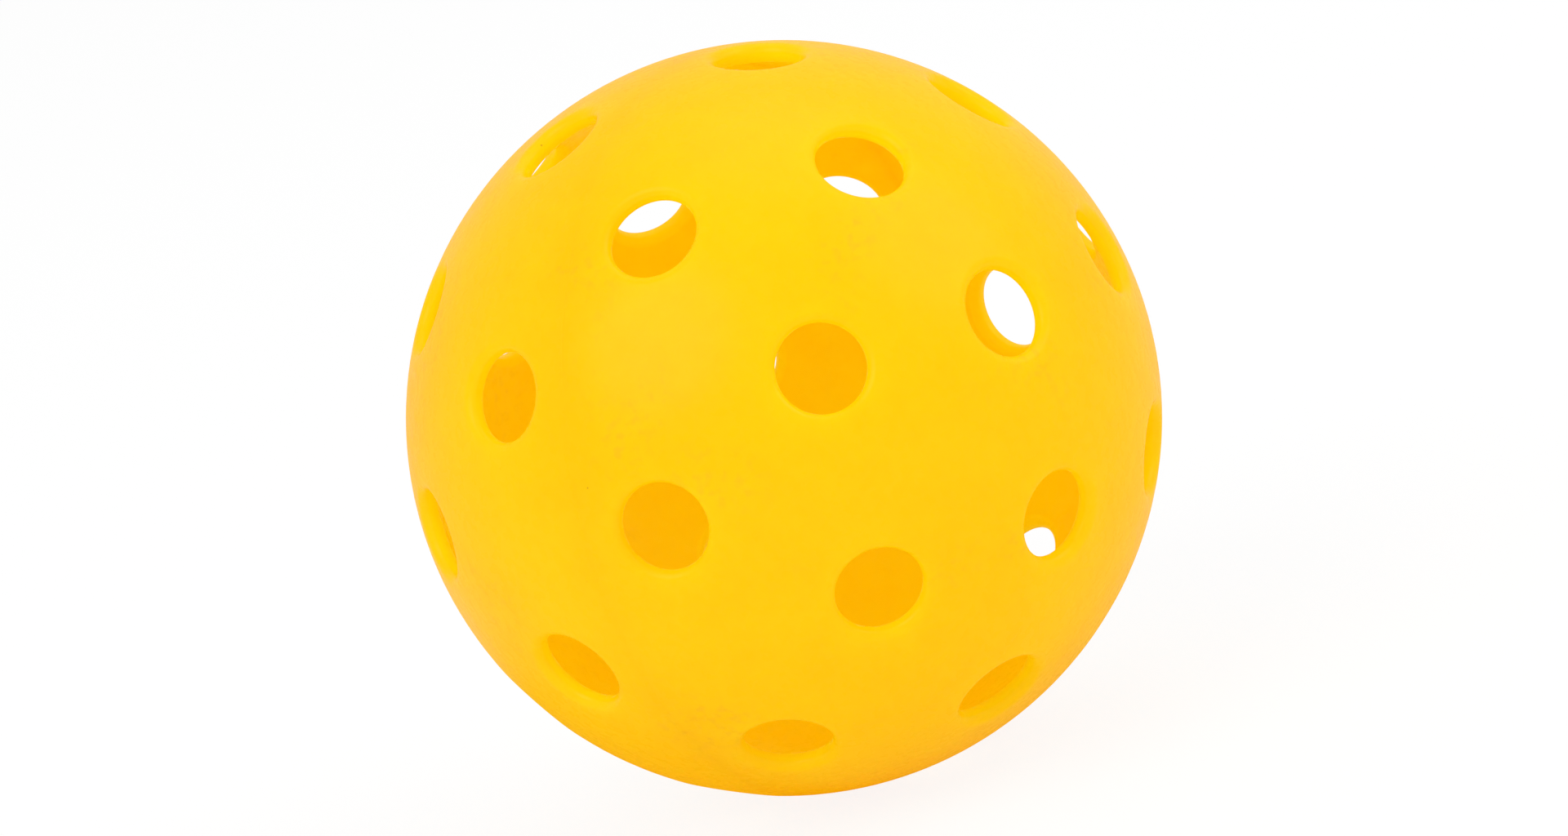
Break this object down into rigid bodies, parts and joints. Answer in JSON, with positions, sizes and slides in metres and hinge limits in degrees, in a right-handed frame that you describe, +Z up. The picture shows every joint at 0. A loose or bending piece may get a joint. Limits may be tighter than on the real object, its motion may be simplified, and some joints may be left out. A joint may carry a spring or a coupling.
{
  "type": "pickleball",
  "caption": "Hollow moulded plastic ball with round air holes in rings over both welded half shells, played with paddles over a court net.",
  "frame": {"origin": "centre of the ball", "axes": "+X along the axis that both half shells share, towards the tongue half's pole, so that the weld seam is the plane x = 0; +Z up, about 15 degrees of roll from upright in the picture, so that the holes fall evenly on the axes; the viewer stands on the -Y side, towards +X"},
  "size_m": [0.074, 0.074, 0.074],
  "materials": {
    "yellow_plastic": "satin moulded polyethylene with a fine mottle, faint scuffs and a flush weld seam"
  },
  "bodies": {
    "root": {"tongue_half_shell": "yellow_plastic", "rebate_half_shell": "yellow_plastic"}
  },
  "joints": []
}
